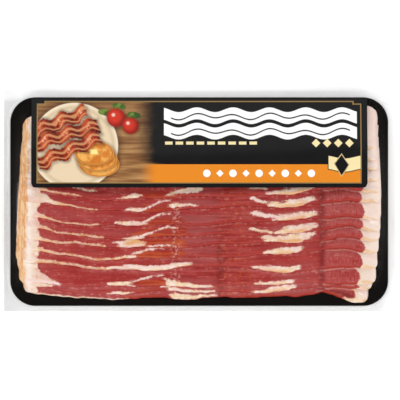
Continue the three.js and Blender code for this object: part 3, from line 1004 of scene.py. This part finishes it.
film = {
    "width": 280.0, "height": 158.0, "columns": 280, "rows": 158, "margin": 0.32, "clearance": 0.12,
    "steps": 160, "suction": 0.035, "steepest": 1.7, "ripple": 0.05, "sideGap": 0.3, "boardGap": 0.4,
    "bridging": 0.35, "fallSteps": 16,  # how far it sags over a one-cell notch, how many cells a fall takes
    "face": shade(248, 248, 248), "hazyFace": shade(206, 206, 207), "index": 1.36,
    "gloss": {"from": 0.024, "gain": 0.24}, "glint": 0.3,
    "creases": ((1, 1, 0.3), 60, 3, 0.6), "crinkle": ((1, 1, 1), 240, 2), "cloud": ((0.5, 1, 1), 40, 2),
    "cloudy": {"margin": 0.13, "uneven": 0.14},
    # the margin is painted cloudier and so greyer at the left, and clearer and so brighter at the right and
    # the top: painted shade and light
    "ends": {"left": (-125, -138, 0.06), "right": (125, 138, -0.13), "top": (70, 75, -0.14)},
    "sheen": [  # white glints where the film is pulled tight, as strokes across the pack in mm
        ("sheen", -129.6, 13, -130.2, -22, 0.1, 0.15), ("sheen", -126.4, -35, -123.6, -52, 0.3, 0.5),
        ("sheen", 84, -64.6, 88, -64.0, 0.4, 0.1), ("sheen", 115.5, -66.2, 118.0, -67.6, 0.9, 0.5),
        ("sheen", 121.5, -12.5, 124.0, -15.5, 0.9, 1.0),
    ],
}


def roundedBoxDistance(x, y):
    acrossX = np.abs(x - board["x"]) - board["width"] / 2 + board["corner"]
    acrossY = np.abs(y - board["y"]) - board["height"] / 2 + board["corner"]
    outside = np.hypot(np.maximum(acrossX, 0), np.maximum(acrossY, 0))
    return outside + np.minimum(np.maximum(acrossX, acrossY), 0) - board["corner"]


def contentsHeight(x, y):
    height = np.full_like(x, film["margin"])
    onBoard = roundedBoxDistance(x, y) < film["boardGap"]
    height = np.where(onBoard, stack["boardTop"] + film["clearance"], height)
    gap, radius = film["sideGap"], stack["edgeRound"]
    packX, x = x, x - pullIn(x, y)
    for index in range(stack["count"]):
        left, right = endReach(index, stack["leftReach"]), endReach(index, stack["rightReach"])
        toEnd = np.minimum(x - left, right - x)
        edge = lowerEdge(index, x) + cornerInset(np.maximum(toEnd, 0), stack["corner"])
        within = (toEnd > -gap) & (y > edge - gap) & (y < upperEdge(index, x) + gap)
        reach = np.maximum(0, y - edge)
        drop = np.maximum(roundedDrop(reach, radius), roundedDrop(np.maximum(toEnd, 0), radius))
        top = sliceTop(index, x, y) - drop * thinning(x) + film["clearance"]
        height = np.where(within, np.maximum(height, top), height)
    x = packX
    half = card["width"] / 2
    corner = cornerInset(np.maximum(half - np.abs(x), 0), card["corner"])
    onCard = (np.abs(x) < half + gap) & (y > card["bottom"] + corner - gap) & (y < card["top"] + gap)
    top = cardUnderside(x, y) + card["thickness"] + film["clearance"]
    return np.where(onCard, np.maximum(height, top), height)


def neighbours(height):
    padded = np.pad(height, 1, mode="edge")
    return [padded[2:, 1:-1], padded[:-2, 1:-1], padded[1:-1, 2:], padded[1:-1, :-2]]


def drape(height, pitch):
    floor = np.maximum(height, np.maximum.reduce(neighbours(height)) - film["bridging"] * pitch)
    drop = film["steepest"] * pitch
    draped = floor.copy()
    for step in range(film["fallSteps"]):
        draped = np.maximum(draped, np.maximum.reduce(neighbours(draped)) - drop)
    draped[0, :] = draped[-1, :] = film["margin"]
    draped[:, 0] = draped[:, -1] = film["margin"]
    floor = np.minimum(floor, draped)
    for step in range(film["steps"]):
        relaxed = sum(neighbours(draped)) / 4 - film["suction"]
        relaxed = np.maximum(floor, relaxed)
        relaxed[0, :] = relaxed[-1, :] = film["margin"]
        relaxed[:, 0] = relaxed[:, -1] = film["margin"]
        draped = relaxed
    return draped


def filmSheet():
    bm = gridSheet(film["columns"], film["rows"])
    hazeLayer = bm.verts.layers.float.new("haze")
    sheenLayer = bm.verts.layers.float.new("sheen")
    under = bm.verts[:]
    grown = bmesh.ops.extrude_face_region(bm, geom=bm.faces[:])["geom"]
    upper = [item for item in grown if isinstance(item, bmesh.types.BMVert)]
    along, up = ways(bm, upper)
    acrossCount = len(set(np.round(along, 5)))
    upCount = len(set(np.round(up, 5)))
    lineX = (np.arange(acrossCount) / (acrossCount - 1) - 0.5) * film["width"]
    lineY = (np.arange(upCount) / (upCount - 1) - 0.5) * film["height"]
    x, y = np.meshgrid(lineX, lineY)
    draped = drape(contentsHeight(x, y), film["width"] / (acrossCount - 1))
    away = easeStep(roundedBoxDistance(x, y), 1.0, 3.0)
    edgeward = np.minimum(film["width"] / 2 - np.abs(x), film["height"] / 2 - np.abs(y))
    ripple = film["ripple"] * np.sin(x / 2.9 + np.sin(y / 9)) * np.sin(y / 3.3 + np.sin(x / 13))
    draped = draped + away * ripple * np.clip(edgeward, 0, 1)
    haze = easeStep(roundedBoxDistance(x, y), 1.0, 2.4)
    sheen = np.maximum.reduce([strokeField(x, y, mark) for mark in film["sheen"]])
    for verts, height, glints in ((under, 0 * draped, 0 * sheen - 6), (upper, draped, sheen)):
        along, up = ways(bm, verts)
        column = np.round(along * (acrossCount - 1)).astype(int)
        row = np.round(up * (upCount - 1)).astype(int)
        for vert, cloudy, bright in zip(verts, haze[row, column], glints[row, column]):
            vert[hazeLayer] = cloudy
            vert[sheenLayer] = bright
        placeVerts(verts, lineX[column], lineY[row], height[row, column])
    return bm


def filmMaterial():
    made = Recipe("clear film")
    place = made.place()
    x = made.part(place, 0) * 1000
    y = made.part(place, 1) * 1000
    haze = made.attribute("haze")
    creases = made.pattern(place, film["creases"])
    crinkle = made.pattern(place, film["crinkle"])
    normal = made.bump(creases * 0.8 + crinkle * 0.2, 0.12, 0.0012)
    fresnel = made.node("ShaderNodeFresnel", {}, {"IOR": film["index"], "Normal": normal})
    gloss = (fresnel - film["gloss"]["from"]) * film["gloss"]["gain"]
    cloud = made.pattern(place, film["cloud"])
    hazeAndPaintedShade = (cloud - 0.5) * film["cloudy"]["uneven"] + film["cloudy"]["margin"]
    # painted shade and light on the margin: more haze at the left, less at the right and the top
    for side, along in (("left", x), ("right", x), ("top", y)):
        start, stop, change = film["ends"][side]
        hazeAndPaintedShade = hazeAndPaintedShade + made.ease(along, start, stop) * change
    hazeAndPaintedShade = haze * hazeAndPaintedShade
    glint = made.above(made.attribute("sheen") + (crinkle - 0.5) * 0.5, 0.5)
    cover = made.most(made.most(gloss, hazeAndPaintedShade), glint * film["glint"])
    shine = made.node("ShaderNodeBsdfPrincipled", {}, {
        "Base Color": made.blend(haze, film["face"], film["hazyFace"]),
        "Metallic": 1 - made.most(haze * 0.85, made.ease(glint, 0, 0.1)),
        "Roughness": 0.14 + haze * 0.12, "Normal": normal,
    })
    clear = made.node("ShaderNodeBsdfTransparent", {}, {"Color": (1, 1, 1, 1)})
    shader = made.node("ShaderNodeMixShader", {}, {0: cover, 1: clear, 2: shine})
    return made.finish(shader)


newPiece(filmSheet(), "clear_film", filmMaterial(), "film_pouch", sharp=80)
print("film made")


# Floor, light and camera

studio = {
    "floor": shade(250, 250, 250), "paleFloor": shade(252, 252, 252), "floorReach": 4.0, "floorDrop": 0.0003,
    "zenith": 0.1, "horizon": 0.84, "dimAbove": 0.8, "brightBelow": 0.5,
    "lights": [
        {"name": "leftSoftbox", "at": (-1.7, 0.3, 1.6), "size": (1.8, 2.0), "power": 19},
        {"name": "rightSoftbox", "at": (1.8, 0.1, 1.5), "size": (1.8, 2.0), "power": 23},
        {"name": "highSoftbox", "at": (0.0, 1.9, 1.7), "size": (2.2, 1.6), "power": 18},
        {"name": "lowSoftbox", "at": (0.0, -1.9, 1.5), "size": (2.2, 1.4), "power": 26},
    ],
    "photoWidth": 286.8, "photoMiddle": (0.47, 0.79), "cameraHeight": 4.8, "sensor": 36.0,
}


def floorPiece():
    bm = bmesh.new()
    bmesh.ops.create_grid(bm, x_segments=4, y_segments=4, size=studio["floorReach"])
    bmesh.ops.translate(bm, verts=bm.verts[:], vec=(0, 0, -studio["floorDrop"]))
    mesh = bpy.data.meshes.new("floor")
    bm.to_mesh(mesh)
    bm.free()
    made = Recipe("studio floor")
    tone = made.blend(made.noise(made.place(), 3), studio["floor"], studio["paleFloor"])
    shader = made.node("ShaderNodeBsdfPrincipled", {}, {
        "Base Color": tone, "Roughness": 0.9, "Specular IOR Level": 0.1,
    })
    mesh.materials.append(made.finish(shader))
    floor = bpy.data.objects.new("floor", mesh)
    bpy.context.scene.collection.objects.link(floor)


def lightUp():
    world = bpy.data.worlds.new("studio")
    bpy.context.scene.world = world
    world.use_nodes = True
    nodes, links = world.node_tree.nodes, world.node_tree.links
    place = nodes.new("ShaderNodeTexCoord")
    height = nodes.new("ShaderNodeSeparateXYZ")
    fade = nodes.new("ShaderNodeMapRange")  # bright near the horizon and dim overhead, as in a light tent
    fade.inputs["From Min"].default_value = studio["brightBelow"]
    fade.inputs["From Max"].default_value = studio["dimAbove"]
    fade.inputs["To Min"].default_value = studio["horizon"]
    fade.inputs["To Max"].default_value = studio["zenith"]
    links.new(place.outputs["Generated"], height.inputs[0])
    links.new(height.outputs["Z"], fade.inputs["Value"])
    links.new(fade.outputs[0], nodes["Background"].inputs["Strength"])
    nodes["Background"].inputs["Color"].default_value = (1.0, 1.0, 1.0, 1.0)
    for light in studio["lights"]:
        data = bpy.data.lights.new(light["name"], "AREA")
        data.shape = "RECTANGLE"
        data.size, data.size_y = light["size"]
        data.energy = light["power"]
        lamp = bpy.data.objects.new(light["name"], data)
        lamp.location = light["at"]
        lamp.rotation_euler = Vector(light["at"]).to_track_quat("Z", "Y").to_euler()
        bpy.context.scene.collection.objects.link(lamp)


def cameraUp():
    data = bpy.data.cameras.new("camera")
    camera = bpy.data.objects.new("camera", data)
    x, y = studio["photoMiddle"]
    camera.location = (x * mm, y * mm, studio["cameraHeight"])
    data.sensor_width = studio["sensor"]
    data.lens = data.sensor_width * studio["cameraHeight"] / (studio["photoWidth"] * mm)
    bpy.context.scene.collection.objects.link(camera)
    bpy.context.scene.camera = camera


floorPiece()
lightUp()
cameraUp()
bpy.context.scene.view_settings.view_transform = "Standard"
print("studio ready")
